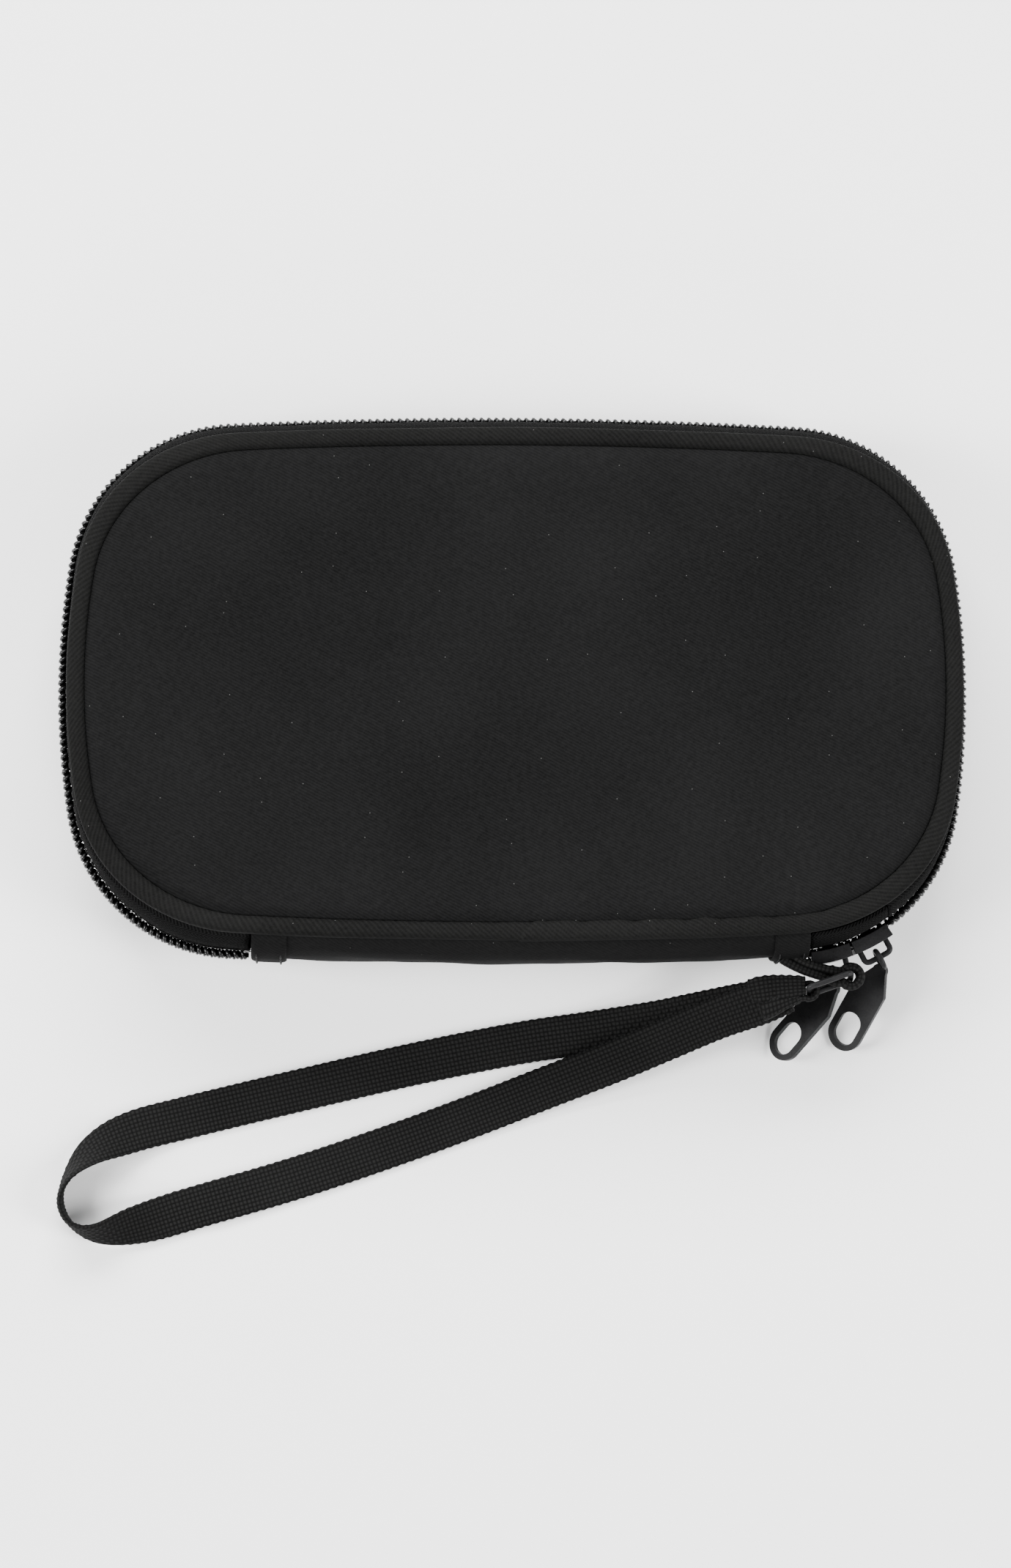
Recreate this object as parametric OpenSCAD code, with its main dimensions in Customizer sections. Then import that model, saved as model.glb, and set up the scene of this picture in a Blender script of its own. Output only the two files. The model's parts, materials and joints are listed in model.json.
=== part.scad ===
// Zip-around padded pouch with a webbing wrist strap.
// The pouch lies on its back panel: X runs along its width, Y from the spine
// to the far zip side, Z up through its depth. The origin is the middle of
// the back panel's resting face.

/* [Pouch] */
// Width over the zip coil, mm
pouch_w = 200.8; // [180:0.2:230]
// Height over the zip coil, mm
pouch_h = 122; // [112:0.5:150]
// Depth from back panel to front panel, mm
pouch_d = 32; // [31:0.5:35]
// Radius of the four corners along the zip, mm
corner_r = 38; // [30:0.5:40]
// How far each side bows out past the corners, mm
side_bow = 1.6; // [0.8:0.1:2.4]

/* [Panels] */
// Thickness of the outer cloth of each panel, mm
cloth_t = 1; // [0.8:0.1:1.2]
// Thickness of the foam in each panel, mm
foam_t = 3; // [2:0.25:4]
// Thickness of the lining, mm
lining_t = 0.7; // [0.5:0.1:1]
// Width of the binding that is sewn round each panel, mm
binding_w = 3.9; // [3:0.1:5]
// Thickness of the folded cloth of the spine and the walls, mm
wall_t = 0.8; // [0.6:0.1:1]

/* [Zip] */
// Height of the middle of the zip above the back face, mm
zip_z = 13; // [12.5:0.25:13.5]
// Width of one half of the coil, across the zip, mm
coil_w = 2.4; // [2:0.1:2.8]
// Thickness of the coil, mm
coil_t = 2.2; // [1.8:0.1:2.4]
// Length of a slider body along the zip, mm
slider_l = 9; // [8:0.25:9.5]
// Width of a slider body across the zip, mm
slider_w = 8.4; // [8:0.1:9]

/* [Pulls] */
// Length of a pull plate, mm
pull_l = 25; // [22:0.5:28]
// Width of a pull plate, mm
pull_w = 8.2; // [7.5:0.1:9]
// Thickness of a pull plate, mm
pull_t = 1.2; // [1:0.1:1.4]

/* [Wrist strap] */
// Width of the webbing, mm
strap_w = 9.6; // [8:0.2:10]
// Thickness of the webbing, mm
strap_t = 1.5; // [1.2:0.1:1.6]
// Diameter of the ring's wire, mm
ring_wire = 1.3; // [1:0.1:1.5]

/* [Hidden] */
$fn = 48;
corner_steps = 10;
side_steps = 4;
long_steps = 8;

half_w = pouch_w / 2;
half_h = pouch_h / 2;
// centre of each corner of the zip line, which the right slider turns about
corner_x = half_w - corner_r - side_bow;
corner_y = half_h - corner_r - side_bow;

// how far each edge lies inside the zip line, at the sides and the long sides
bind_in_x = 2.9;
bind_in_y = 5;
seam_in_x = bind_in_x + binding_w;
seam_in_y = bind_in_y + binding_w;
binding_lift = 0.3;
shell_t = cloth_t + foam_t + lining_t;
binding_h = shell_t - binding_lift;
front_z = pouch_d - shell_t;

// the zip's two ends, either side of the spine
right_end_a = -84;
left_end_x = -58;
right_end_x = corner_x + corner_r * cos(right_end_a);
end_gap = 0.5;
ply_gap = 0.1;
end_tab_l = 8;

// the zip: coil outside, tape behind it, a gap between its two halves
coil_gap = 0.8;
tape_t = 0.7;
coil_back = coil_t + 0.05;
foot_gap = 0.2;
back_foot_z = shell_t + foot_gap;
front_foot_z = front_z - foot_gap;
back_edge_z = zip_z - coil_gap / 2;
front_edge_z = zip_z + coil_gap / 2;
foot_in_x = 0.6;
foot_in_y = 2.2;
knee_share = 0.65;

// a slider's section, measured out from the zip line
flange_gap = 0.3;
flange_t = 1.2;
inner_gap = 0.4;
lip_t = 0.8;
lip_depth = 1.7;
post_t = 0.44;
post_a = 4;
slider_a = slider_l / corner_r * 180 / PI;
left_slider_a = -76.4;
right_slider_a = -62;
flange_r = corner_r + flange_gap + flange_t;
inner_r = corner_r - coil_back - tape_t - inner_gap - flange_t;

// the crown is an arch over the slider, and the pull hangs on its bar
bar_d = 1.3;
bar_r = flange_r + 2.7;
crown_l = 7.6;

// where the front half's tape starts on the cover, past the sliders
front_start_a = right_slider_a + slider_a / 2 + 1;
end_piece_a = front_start_a - 0.4;

// the middle of each pull's round tip at rest, and how far its face leans from level
left_tip = [59.6, -78.6, 2.5];
right_tip = [73.8, -75.8, 2.5];
left_roll = 34;
right_roll = 24;
loop_wire = 1.2;
loop_r = 2;
loop_sag = 0.6;
loop_out = 2.9;
neck_r = 1.7;
neck_back = 0.5;
shoulder_y = 6;
grip_w = 5.2;
grip_l = 8;
tip_rim = 1.3;

// the ring stands on edge between the tab's eye and the strap's eye
tab_eye = [73.6, -63.2];
ring_end = [64.4, -66.4];
ring_z0 = 15.7;
ring_h = 7.7;
ring_bend = 1;
eye_z0 = ring_z0 + ring_wire + 0.4;
eye_h = ring_h - 2 * ring_wire - 0.8;
tab_eye_r = 3.2;
strap_eye_r = 2.5;
eye_hole_r = ring_wire / 2 + 0.35;

// the strap's route from its sewn end round the hand loop and back:
// x, y, height of its lowest edge, tilt in degrees, share of the full width
strap_route = [
    [60, -67.2, 16.4, -12, 0.8],
    [54, -68.4, 13, -6, 1],
    [44, -70.2, 7.8, 0, 1],
    [32, -72.6, 3, 0, 1],
    [18, -74.8, 0.5, 0, 1],
    [2, -77.2, 0.1, 0, 1],
    [-22, -82, 0.1, 0, 1],
    [-48, -88, 0.1, 0, 1],
    [-72, -93.8, 0.1, 0, 1],
    [-84, -97, 0.1, 12, 1],
    [-92.5, -101, 0.1, 45, 1],
    [-97.8, -106.6, 0.1, 78, 1],
    [-99.4, -112.4, 0.1, 90, 1],
    [-96.8, -117.4, 0.1, 86, 1],
    [-91, -119.2, 0.1, 62, 1],
    [-82, -117.2, 0.1, 24, 1],
    [-70, -113.6, 0.1, 0, 1],
    [-48, -107.2, 0.1, 0, 1],
    [-26, -99.8, 0.1, 0, 1],
    [-8, -93.2, 0.3, 0, 1],
    [8, -87, 1.2, 0, 1],
    [22, -81.6, 2.9, 0, 1],
    [34, -76.6, 5.6, 0, 1],
    [45, -72, 10, 0, 1],
    [54, -69, 15.2, 6, 1],
    [60, -67.4, 18.6, 12, 0.8]
];
strap_cuts = 3;

web_col = [0.09, 0.09, 0.09];
cloth_col = [0.13, 0.13, 0.13];
foam_col = [0.3, 0.3, 0.3];
lining_col = [0.2, 0.2, 0.2];
metal_col = [0.05, 0.05, 0.05];
coil_col = [0.07, 0.07, 0.07];

// an arc of n steps without its last point
function arc(c, r, a0, a1, n) = [
    for (i = [0 : n - 1]) let (a = a0 + (a1 - a0) * i / n) c + r * [cos(a), sin(a)]
];

// the radius of the shallow arc that closes a side tangent to its corners:
// u is from the corner's centre out to the side, v along the side
function bow_r(u, v) = (u * u + v * v - corner_r * corner_r) / (2 * (u - corner_r));

long_r = bow_r(half_h - corner_y, corner_x);
short_r = bow_r(half_w - corner_x, corner_y);
long_c = [0, half_h - long_r];
short_c = [half_w - short_r, 0];
short_a = atan2(corner_y, corner_x - short_c[0]);
long_a = atan2(corner_x, corner_y - long_c[1]);
left_end_a = 270 + asin(left_end_x / long_r);

// the pouch's outline pulled in by dx at the sides and dy at the long sides,
// from one place on it to another: the zip's stretch, or all of it
function squeezed(pts, dx, dy) = [
    for (p = pts) [p[0] * (half_w - dx) / half_w, p[1] * (half_h - dy) / half_h]
];
function corner(n, a0, a1, inset) = arc(
    [n[0] * corner_x, n[1] * corner_y], corner_r - inset, a0, a1, corner_steps);

function upper_run(inset) = concat(
    arc(short_c, short_r - inset, -short_a, short_a, side_steps),
    corner([1, 1], short_a, 90 - long_a, inset),
    arc(long_c, long_r - inset, 90 - long_a, 90 + long_a, long_steps),
    corner([-1, 1], 90 + long_a, 180 - short_a, inset),
    arc(-short_c, short_r - inset, 180 - short_a, 180 + short_a, side_steps),
    corner([-1, -1], 180 + short_a, 270 - long_a, inset));

// the closed outline
function outline(inset) = concat(
    upper_run(inset),
    arc(-long_c, long_r - inset, 270 - long_a, 270 + long_a, long_steps),
    corner([1, -1], 270 + long_a, 360 - short_a, inset));

// the zip's run, between two angles of the lower right corner and on to the left end
function zip_run(inset, a0) = concat(
    corner([1, -1], a0, -short_a, inset),
    upper_run(inset),
    arc(-long_c, long_r - inset, 270 - long_a, left_end_a, 2),
    [-long_c + (long_r - inset) * [cos(left_end_a), sin(left_end_a)]]);

// the short run under the sliders
function slider_run(inset, a1) = concat(
    arc([corner_x, -corner_y], corner_r - inset, right_end_a, a1, 3),
    [[corner_x, -corner_y] + (corner_r - inset) * [cos(a1), sin(a1)]]);

// the spine's run along the lower side, left to right
function spine_run(inset, x0, x1, steps) = [
    for (i = [0 : steps]) let (a = asin((x0 + (x1 - x0) * i / steps) / long_r))
        -long_c + (long_r - inset) * [sin(a), -cos(a)]
];

// a solid swept along rows of points: each row is one corner line of its closed section, and
// the section's second half runs back beside its first half
module swept(rows) {
    n = len(rows[0]);
    m = len(rows);
    last = (n - 1) * m;
    points = [for (i = [0 : n - 1]) for (j = [0 : m - 1]) rows[j][i]];
    start_cap = [for (j = [0 : m / 2 - 2]) for (f = [[j, m - 1 - j, m - 2 - j], [j, m - 2 - j, j + 1]]) f];
    end_cap = [for (f = start_cap) [last + f[0], last + f[2], last + f[1]]];
    polyhedron(points, concat(start_cap, end_cap,
        [for (i = [0 : n - 2]) for (j = [0 : m - 1])
            [i * m + j, i * m + (j + 1) % m, (i + 1) * m + j]],
        [for (i = [0 : n - 2]) for (j = [0 : m - 1])
            [i * m + (j + 1) % m, (i + 1) * m + (j + 1) % m, (i + 1) * m + j]]));
}

function reversed(list) = [for (i = [len(list) - 1 : -1 : 0]) list[i]];
function at_z(pts, z) = [for (p = pts) [p[0], p[1], z]];

module slab(dx, dy, z0, z1) {
    translate([0, 0, z0])
        linear_extrude(z1 - z0)
            polygon(squeezed(outline(0), dx, dy));
}

module ring_of_binding(z0) {
    difference() {
        slab(bind_in_x, bind_in_y, z0, z0 + binding_h);
        slab(seam_in_x, seam_in_y, z0 - 1, z0 + binding_h + 1);
    }
}

// ---- back half ----
module back_panel() {
    color(cloth_col) slab(seam_in_x, seam_in_y, 0, cloth_t);
}
module back_foam() {
    color(foam_col) slab(seam_in_x, seam_in_y, cloth_t, cloth_t + foam_t);
}
module back_lining() {
    color(lining_col) slab(seam_in_x, seam_in_y, cloth_t + foam_t, shell_t);
}
module back_binding() {
    color(cloth_col) ring_of_binding(binding_lift);
}

// ---- front half ----
module front_panel() {
    color(cloth_col) slab(seam_in_x, seam_in_y, pouch_d - cloth_t, pouch_d);
}
module front_foam() {
    color(foam_col) slab(seam_in_x, seam_in_y, pouch_d - cloth_t - foam_t, pouch_d - cloth_t);
}
module front_lining() {
    color(lining_col) slab(seam_in_x, seam_in_y, front_z, front_z + lining_t);
}
module front_binding() {
    color(cloth_col) ring_of_binding(front_z);
}

// ---- zip tape: a wall from each binding to the coil ----
module tape(outer, foot_z, edge_z) {
    knee_z = edge_z + (foot_z - edge_z) * knee_share;
    inner = [for (i = [0, 1]) outer[i + 2]];
    up = foot_z > edge_z;
    rows = [
        at_z(outer[0], foot_z),
        at_z(outer[1], knee_z),
        at_z(outer[1], edge_z),
        at_z(inner[1], edge_z),
        at_z(inner[1], knee_z),
        at_z(inner[0], foot_z)
    ];
    color(web_col) swept(up ? reversed(rows) : rows);
}
function tape_runs(outer, inner) = [
    squeezed(outer, foot_in_x, foot_in_y), outer, squeezed(inner, foot_in_x, foot_in_y), inner
];
function zip_tape_runs(a0) = tape_runs(
    zip_run(coil_back, a0), zip_run(coil_back + tape_t, a0));
function end_tape_runs() = tape_runs(
    slider_run(coil_back, end_piece_a), slider_run(coil_back + tape_t, end_piece_a));

module back_zip_tape() {
    tape(zip_tape_runs(right_end_a), back_foot_z, back_edge_z);
}
module front_zip_tape() {
    tape(zip_tape_runs(front_start_a), front_foot_z, front_edge_z);
}
// the stretch of the front tape that the sliders hold to the back half
module front_tape_end() {
    tape(end_tape_runs(), front_foot_z, front_edge_z);
}

// ---- zip coil: one half of the teeth on each tape ----
module coil(outer, inner, z0) {
    z1 = z0 + coil_w;
    color(coil_col) swept([at_z(outer, z0), at_z(outer, z1), at_z(inner, z1), at_z(inner, z0)]);
}
module back_zip_coil() {
    coil(zip_run(0, right_end_a), zip_run(coil_t, right_end_a), back_edge_z - coil_w);
}
module front_zip_coil() {
    coil(zip_run(0, front_start_a), zip_run(coil_t, front_start_a), front_edge_z);
}
module front_coil_end() {
    coil(slider_run(0, end_piece_a), slider_run(coil_t, end_piece_a), front_edge_z);
}

// ---- spine: the cloth hinge between the two halves ----
// out is how far the layer stands out of the zip line, at its fullest
module spine_layer(out, t, x0, x1, steps) {
    z_low = back_foot_z;
    z_high = front_foot_z;
    belly = [[3.8, z_low], [0.8, z_low + 5], [0.8, z_high - 6], [3.8, z_high]];
    rows = concat(
        [for (b = belly) at_z(spine_run(b[0] - out, x0, x1, steps), b[1])],
        [for (i = [3 : -1 : 0]) at_z(spine_run(belly[i][0] - out + t, x0, x1, steps), belly[i][1])]);
    swept(rows);
}
module spine() {
    color(cloth_col)
        spine_layer(0, wall_t, left_end_x + end_gap, right_end_x - end_gap, long_steps);
}
module spine_lining() {
    color(lining_col)
        spine_layer(-wall_t - ply_gap, lining_t, left_end_x + end_gap, right_end_x - end_gap,
            long_steps);
}
module left_end_tab() {
    color(cloth_col)
        spine_layer(wall_t + ply_gap, wall_t, left_end_x + end_gap, left_end_x + end_tab_l, 1);
}
module right_end_tab() {
    color(cloth_col)
        spine_layer(wall_t + ply_gap, wall_t, right_end_x - end_tab_l, right_end_x - end_gap, 1);
}

// ---- sliders ----
module turned(span, a) {
    translate([corner_x, -corner_y, zip_z])
        rotate(a - span / 2)
            rotate_extrude(angle = span, $fn = 180)
                children();
}
module slider(a) {
    color(metal_col) {
        turned(slider_a, a) {
            translate([flange_r - flange_t, -slider_w / 2]) square([flange_t, slider_w]);
            translate([inner_r, -slider_w / 2]) square([flange_t, slider_w]);
            for (side = [-1, 1])
                translate([flange_r - flange_t - lip_depth, side * (slider_w - lip_t) / 2 - lip_t / 2])
                    square([lip_depth + flange_t / 2, lip_t]);
        }
        turned(post_a, a)
            translate([inner_r + flange_t / 2, -post_t / 2])
                square([flange_r - inner_r - flange_t, post_t]);
    }
}
module left_slider() {
    slider(left_slider_a);
}
module right_slider() {
    slider(right_slider_a);
}

// an arch of round bar over the slider, its feet on the outer flange
module crown(a) {
    foot_y = (crown_l - bar_d) / 2;
    rise = bar_r - flange_r;
    color(metal_col)
        translate([corner_x, -corner_y, zip_z])
            rotate(a)
                translate([bar_r, 0, 0]) {
                    rotate([90, 0, 0]) cylinder(d = bar_d, h = 2 * foot_y, center = true);
                    for (side = [-1, 1])
                        translate([0, side * foot_y, 0]) {
                            sphere(d = bar_d);
                            rotate([0, -90, 0]) cylinder(d = bar_d, h = rise);
                        }
                }
}
module left_crown() {
    crown(left_slider_a);
}
module right_crown() {
    crown(right_slider_a);
}

// ---- pulls: a flat plate with a grip slot, on a round loop that hangs on the crown's bar ----
function unit(v) = v / norm(v);
function bar_at(a) = [corner_x + bar_r * cos(a), -corner_y + bar_r * sin(a), zip_z];

// drawn along +Y from the loop's outer side at the origin
module pull_plate() {
    tip_y = pull_l - loop_out - pull_w / 2;
    slot_y = tip_y + pull_w / 2 - tip_rim - grip_w / 2;
    slot_l = grip_l - grip_w;
    half = pull_w / 2;
    translate([0, 0, -pull_t / 2])
        linear_extrude(pull_t)
            difference() {
                union() {
                    translate([0, neck_r - neck_back]) circle(neck_r);
                    translate([0, tip_y]) circle(half);
                    polygon([[-neck_r, neck_r - neck_back], [neck_r, neck_r - neck_back],
                        [half, shoulder_y], [half, tip_y], [-half, tip_y], [-half, shoulder_y]]);
                }
                translate([0, slot_y]) circle(grip_w / 2);
                translate([0, slot_y - slot_l]) circle(grip_w / 2);
                translate([-grip_w / 2, slot_y - slot_l]) square([grip_w, slot_l]);
            }
}
module pull(a, tip, roll) {
    bar = bar_at(a);
    tangent = [-sin(a), cos(a), 0];
    drop = unit(cross(tangent, cross(tip - bar, tangent)));
    hub = bar + drop * loop_sag;
    start = bar + drop * loop_out;
    along = unit(tip - start);
    level = unit([along[1], -along[0], 0]);
    over = cross(level, along);
    face = over * cos(roll) + level * sin(roll);
    across = cross(along, face);
    color(metal_col) {
        translate(hub)
            rotate(a)
                rotate([90, 0, 0])
                    rotate_extrude()
                        translate([loop_r, 0]) circle(d = loop_wire);
        multmatrix([
            [across[0], along[0], face[0], start[0]],
            [across[1], along[1], face[1], start[1]],
            [across[2], along[2], face[2], start[2]]
        ])
            pull_plate();
    }
}
module left_pull() {
    pull(left_slider_a, left_tip, left_roll);
}
module right_pull() {
    pull(right_slider_a, right_tip, right_roll);
}

// ---- the strap's fixing ----
// a narrow ribbon on edge, sewn to the spine's right end and folded round the ring
module strap_tab() {
    color(web_col)
        translate([0, 0, eye_z0])
            difference() {
                union() {
                    translate(tab_eye) cylinder(r = tab_eye_r, h = eye_h);
                    linear_extrude(eye_h)
                        polygon([[57, -60.4], [64, -60.6], [68.5, -61.2], [72, -61],
                            [72, -65.4], [68, -63.6], [57, -62.7]]);
                }
                translate([tab_eye[0], tab_eye[1], -1]) cylinder(r = eye_hole_r, h = eye_h + 2);
            }
}

// an oval wire ring standing on edge: four straight runs and four bends
module strap_ring() {
    run = ring_end - tab_eye;
    long = norm(run);
    tall = ring_h - ring_wire;
    color(metal_col)
        translate([tab_eye[0], tab_eye[1], ring_z0 + ring_wire / 2])
            rotate(atan2(run[1], run[0]))
                rotate([90, 0, 0]) {
                    for (x = [0, long])
                        translate([x, ring_bend, 0])
                            rotate([-90, 0, 0])
                                cylinder(d = ring_wire, h = tall - 2 * ring_bend);
                    for (y = [0, tall])
                        translate([ring_bend, y, 0])
                            rotate([0, 90, 0])
                                cylinder(d = ring_wire, h = long - 2 * ring_bend);
                    for (c = [[0, 0, 180], [1, 0, 270], [1, 1, 0], [0, 1, 90]])
                        translate([
                            c[0] > 0 ? long - ring_bend : ring_bend,
                            c[1] > 0 ? tall - ring_bend : ring_bend,
                            0
                        ])
                            rotate(c[2])
                                rotate_extrude(angle = 90)
                                    translate([ring_bend, 0]) circle(d = ring_wire);
                }
}

// the strap's folded end, wrapped round the ring
module strap_eye() {
    root_x = strap_route[0][0] + 0.9;
    color(web_col)
        translate([0, 0, eye_z0])
            difference() {
                union() {
                    translate(ring_end) cylinder(r = strap_eye_r, h = eye_h);
                    linear_extrude(eye_h)
                        polygon([[root_x, -68.9], [root_x, -65.6],
                            [ring_end[0] - 1, ring_end[1] + 2], [ring_end[0] - 1, ring_end[1] - 2]]);
                }
                translate([ring_end[0], ring_end[1], -1]) cylinder(r = eye_hole_r, h = eye_h + 2);
            }
}

// ---- the hand loop ----
// a smooth curve through the route's points
function spline(p0, p1, p2, p3, t) = 0.5 * (2 * p1 + (p2 - p0) * t
    + (2 * p0 - 5 * p1 + 4 * p2 - p3) * t * t + (3 * p1 - p0 - 3 * p2 + p3) * t * t * t);
function smooth(pts, cuts) = let (last = len(pts) - 1) concat(
    [for (i = [0 : last - 1]) for (k = [0 : cuts - 1])
        spline(pts[max(i - 1, 0)], pts[i], pts[i + 1], pts[min(i + 2, last)], k / cuts)],
    [pts[last]]);

module wrist_strap() {
    line = smooth(strap_route, strap_cuts);
    last = len(line) - 1;
    // each corner of the webbing's section as a row along the strap
    rows = [for (c = [[-1, -1], [1, -1], [1, 1], [-1, 1]]) [
        for (i = [0 : last]) let (
            ahead = line[min(i + 1, last)] - line[max(i - 1, 0)],
            dir = unit([ahead[0], ahead[1], ahead[2]]),
            flat = unit([-dir[1], dir[0], 0]),
            tilt = line[i][3],
            half = strap_w * line[i][4] / 2,
            rise = unit(cross(dir, flat)),
            across = flat * cos(tilt) + rise * sin(tilt),
            normal = cross(dir, across),
            mid_z = max(line[i][2], 0.1) + half * abs(sin(tilt)) + strap_t / 2 * abs(cos(tilt)))
            [line[i][0], line[i][1], mid_z] + across * half * c[0] + normal * strap_t / 2 * c[1]
    ]];
    color(web_col) swept(rows);
}

back_panel();
back_foam();
back_lining();
back_binding();
front_panel();
front_foam();
front_lining();
front_binding();
spine();
spine_lining();
left_end_tab();
right_end_tab();
back_zip_tape();
front_zip_tape();
front_tape_end();
back_zip_coil();
front_zip_coil();
front_coil_end();
left_slider();
right_slider();
left_crown();
right_crown();
left_pull();
right_pull();
strap_tab();
strap_ring();
strap_eye();
wrist_strap();
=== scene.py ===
# A zip-around padded pouch with a webbing wrist strap, lying on its back panel.
# Metres throughout. X runs along the width, Y from the spine to the far zip side, Z up.
import json
import math

import bmesh
import bpy
import numpy as np
from mathutils import Matrix, Vector


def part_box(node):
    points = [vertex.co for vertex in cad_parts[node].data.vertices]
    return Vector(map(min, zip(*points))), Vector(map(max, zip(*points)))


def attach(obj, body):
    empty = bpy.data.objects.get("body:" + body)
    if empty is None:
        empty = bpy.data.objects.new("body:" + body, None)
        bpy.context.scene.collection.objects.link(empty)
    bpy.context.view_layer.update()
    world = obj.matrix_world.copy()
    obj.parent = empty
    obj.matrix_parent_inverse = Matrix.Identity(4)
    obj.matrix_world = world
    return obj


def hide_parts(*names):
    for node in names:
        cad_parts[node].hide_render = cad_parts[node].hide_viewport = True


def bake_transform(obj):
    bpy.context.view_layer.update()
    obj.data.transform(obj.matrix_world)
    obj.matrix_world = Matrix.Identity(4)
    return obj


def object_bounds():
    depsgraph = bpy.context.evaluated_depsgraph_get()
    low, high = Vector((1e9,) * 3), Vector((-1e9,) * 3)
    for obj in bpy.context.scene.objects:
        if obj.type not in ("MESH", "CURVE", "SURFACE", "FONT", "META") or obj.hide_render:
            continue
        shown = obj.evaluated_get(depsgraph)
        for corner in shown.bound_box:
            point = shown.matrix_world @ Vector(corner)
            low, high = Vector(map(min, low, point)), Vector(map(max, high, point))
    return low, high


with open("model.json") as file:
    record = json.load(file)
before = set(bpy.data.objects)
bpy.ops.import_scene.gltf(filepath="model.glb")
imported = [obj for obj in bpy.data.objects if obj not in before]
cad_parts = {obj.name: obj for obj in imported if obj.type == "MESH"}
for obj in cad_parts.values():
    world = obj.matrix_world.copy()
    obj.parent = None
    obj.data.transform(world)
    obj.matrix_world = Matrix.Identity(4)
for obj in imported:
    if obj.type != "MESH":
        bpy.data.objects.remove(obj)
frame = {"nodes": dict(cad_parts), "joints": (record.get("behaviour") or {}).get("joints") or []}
cad_box = [[float(v) for v in corner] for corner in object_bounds()]
mm = 0.001

# ---- The table and the studio ----
# The pouch lies on a plain pale table among four softboxes in soft daylight. The camera looks
# almost straight down, from a little towards the spine and the strap's far end.
low, high = (Vector(corner) for corner in cad_box)
aim = Vector(((low.x + high.x) / 2 - 1.8 * mm, (low.y + high.y) / 2 + 10.1 * mm, 14 * mm))
lean = Vector((-0.035, -0.089, 1)).normalized()
camera = bpy.data.objects.new("camera", bpy.data.cameras.new("camera"))
bpy.context.scene.collection.objects.link(camera)
camera.location = aim + lean * 1.0
level = Vector((0, 1, 0)).cross(lean).normalized()
camera.rotation_euler = Matrix((level, lean.cross(level), lean)).transposed().to_euler()
camera.data.sensor_fit = "VERTICAL"
camera.data.sensor_height = 36
camera.data.lens = 104.2
camera.data.clip_start = 0.02
bpy.context.scene.camera = camera


def softbox(name, place, width, height, watts):
    """A rectangular lamp at that place, facing the pouch."""
    lamp = bpy.data.lights.new(name, "AREA")
    lamp.shape = "RECTANGLE"
    lamp.size = width
    lamp.size_y = height
    lamp.energy = watts
    box = bpy.data.objects.new(name, lamp)
    bpy.context.scene.collection.objects.link(box)
    box.location = place
    box.rotation_euler = (Vector(place) - aim).to_track_quat("Z", "Y").to_euler()


softbox("softbox_far", (-0.2, 1.25, 0.95), 1.5, 0.6, 75)
softbox("softbox_left", (-1.3, -0.1, 0.85), 0.6, 1.3, 60)
softbox("softbox_right", (1.3, -0.35, 0.85), 0.6, 1.2, 50)
softbox("softbox_near", (0.2, -1.5, 0.9), 0.9, 0.4, 16)

daylight = bpy.data.worlds.new("daylight")
daylight.use_nodes = True
daylight.node_tree.nodes["Background"].inputs["Color"].default_value = (1, 1, 1, 1)
daylight.node_tree.nodes["Background"].inputs["Strength"].default_value = 0.3
bpy.context.scene.world = daylight


def stuff(name, roughness, colour=(0.02, 0.02, 0.02), sheen=0.0, coat=0.0, specular=0.5):
    """A new material, its node tree and its shader."""
    made = bpy.data.materials.new(name)
    made.use_nodes = True
    shader = made.node_tree.nodes["Principled BSDF"]
    shader.inputs["Base Color"].default_value = (*colour, 1)
    shader.inputs["Roughness"].default_value = roughness
    shader.inputs["Sheen Weight"].default_value = sheen
    shader.inputs["Sheen Roughness"].default_value = 0.4
    shader.inputs["Coat Weight"].default_value = coat
    shader.inputs["Coat Roughness"].default_value = 0.15
    shader.inputs["Specular IOR Level"].default_value = specular
    return made, made.node_tree, shader


def knot(tree, kind, *plugs, **set_up):
    """A new node: plugs go in order into its inputs, None leaves one as it is."""
    made = tree.nodes.new(kind)
    for key, value in set_up.items():
        setattr(made, key, value)
    for socket, plug in zip(made.inputs, plugs):
        if plug is None:
            continue
        if isinstance(plug, bpy.types.NodeSocket):
            tree.links.new(plug, socket)
        else:
            socket.default_value = plug
    return made.outputs


def maths(tree, how, *plugs):
    """One step of arithmetic, such as ADD or SINE."""
    return knot(tree, "ShaderNodeMath", *plugs, operation=how)[0]


def graded(tree, share, dark, light):
    """Runs from one colour to another as share goes from 0 to 1."""
    ramp = tree.nodes.new("ShaderNodeValToRGB")
    ramp.color_ramp.elements[0].color = (*dark, 1)
    ramp.color_ramp.elements[1].color = (*light, 1)
    tree.links.new(share, ramp.inputs[0])
    return ramp.outputs[0]


def coloured(tree, shader, share, dark, light):
    """Gives the shader a colour between dark and light, by share."""
    tree.links.new(graded(tree, share, dark, light), shader.inputs["Base Color"])


def roughened(tree, shader, share, more, least):
    """Gives the shader a roughness from least up, by share."""
    tree.links.new(maths(tree, "MULTIPLY_ADD", share, more, least), shader.inputs["Roughness"])


def raised(tree, shader, height, depth, strength=1.0):
    """Bumps the surface by depth metres where height is 1."""
    bump = tree.nodes.new("ShaderNodeBump")
    bump.inputs["Strength"].default_value = strength
    bump.inputs["Distance"].default_value = depth
    tree.links.new(height, bump.inputs["Height"])
    tree.links.new(bump.outputs[0], shader.inputs["Normal"])


def on_piece(tree, per_metre=1.0):
    """The place on the piece itself, in metres, or in other units."""
    spot = knot(tree, "ShaderNodeTexCoord")[3]
    if per_metre == 1.0:
        return spot
    return knot(tree, "ShaderNodeMapping", spot, None, None, (per_metre, per_metre, per_metre))[0]


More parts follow.
